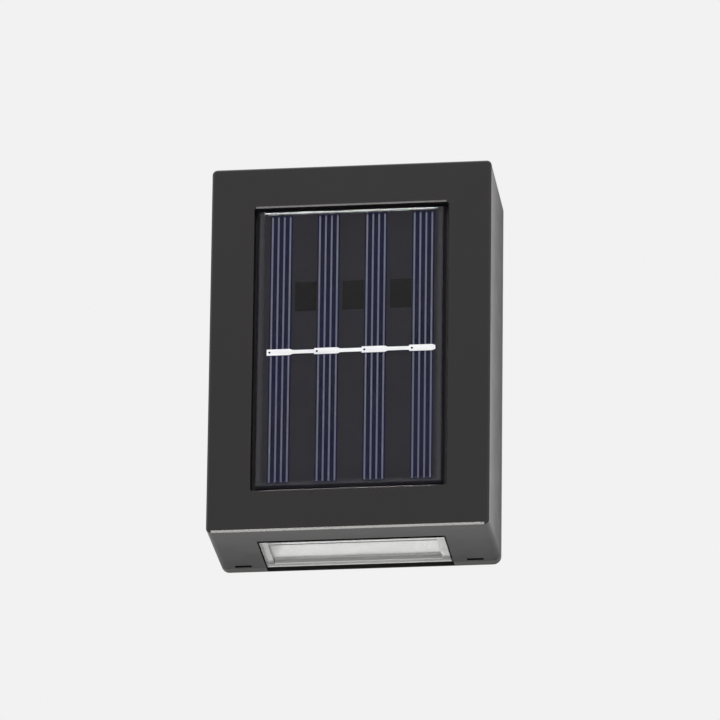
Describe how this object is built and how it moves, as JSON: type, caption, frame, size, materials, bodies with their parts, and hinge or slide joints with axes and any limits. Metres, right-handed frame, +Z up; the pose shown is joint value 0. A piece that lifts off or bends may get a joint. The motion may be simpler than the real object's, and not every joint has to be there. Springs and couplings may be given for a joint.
{
  "type": "fence light",
  "caption": "Box-shaped solar fence light with a solar panel in its front face, clear lenses in its top and underside, and keyholes in its back.",
  "frame": {"origin": "centre of the flat back face that lies on the wall", "axes": "+X to the right seen from the front, +Y into the wall, +Z up"},
  "size_m": [0.084, 0.0358, 0.116],
  "materials": {
    "housing_plastic": "satin, fine grain",
    "seal_rubber": "matte silicone",
    "screw_steel": "zinc plated",
    "panel_clear": "clear, glossy",
    "panel_mask": "dark board",
    "foam_tape": "closed-cell foam",
    "tinned_ribbon": "tinned, satin",
    "patch_film": "matte film",
    "lens_clear": "clear, glossy",
    "reflector_silver": "silver coated",
    "lamp_board_white": "white mask",
    "lamp_phosphor": "yellow phosphor",
    "board_green": "green mask",
    "chip_black": "moulded",
    "ferrite": "ferrite",
    "capacitor_can": "satin can",
    "switch_black": "moulded",
    "contact_metal": "nickel plated",
    "slider_plastic": "white",
    "battery_can": "nickel plated",
    "battery_wrap": "shrink sleeve",
    "holder_black": "moulded",
    "cell_silicon": "blue coated silicon",
    "silver_print": "printed silver",
    "lead_red": "insulation",
    "lead_black": "insulation"
  },
  "bodies": {
    "case": {"back_cover": "housing_plastic", "back_gasket": "seal_rubber", "battery_cell": "battery_can", "battery_holder": "holder_black", "battery_lead_black": "lead_black", "battery_lead_red": "lead_red", "battery_pad": "foam_tape", "battery_sleeve": "battery_wrap", "board_screws": "screw_steel", "busbar_ribbon": "tinned_ribbon", "capacitor": "capacitor_can", "cell_fingers_1": "silver_print", "cell_fingers_2": "silver_print", "cell_fingers_3": "silver_print", "cell_fingers_4": "silver_print", "contact_negative": "contact_metal", "contact_positive": "contact_metal", "controller_chip": "chip_black", "cover_screws": "screw_steel", "front_housing": "housing_plastic", "inductor": "ferrite", "insulation_patches": "patch_film", "lamp_board_bottom": "lamp_board_white", "lamp_board_top": "lamp_board_white", "lamps_bottom": "lamp_phosphor", "lamps_top": "lamp_phosphor", "lens_bottom": "lens_clear", "lens_top": "lens_clear", "lower_lamp_lead_black": "lead_black", "lower_lamp_lead_red": "lead_red", "main_board": "board_green", "panel_board": "panel_mask", "panel_cover": "panel_clear", "panel_lead_black": "lead_black", "panel_lead_red": "lead_red", "panel_tape": "foam_tape", "reflector_bottom": "reflector_silver", "reflector_top": "reflector_silver", "solar_cell_1": "cell_silicon", "solar_cell_2": "cell_silicon", "solar_cell_3": "cell_silicon", "solar_cell_4": "cell_silicon", "switch_body": "switch_black", "switch_frame": "contact_metal", "upper_lamp_lead_black": "lead_black", "upper_lamp_lead_red": "lead_red"},
    "slider": {"switch_slider": "slider_plastic"}
  },
  "joints": [
    {"name": "switch_slide", "type": "slide", "parent": "case", "child": "slider", "axis": [1, 0, 0], "range_m": [0, 0.002]}
  ]
}
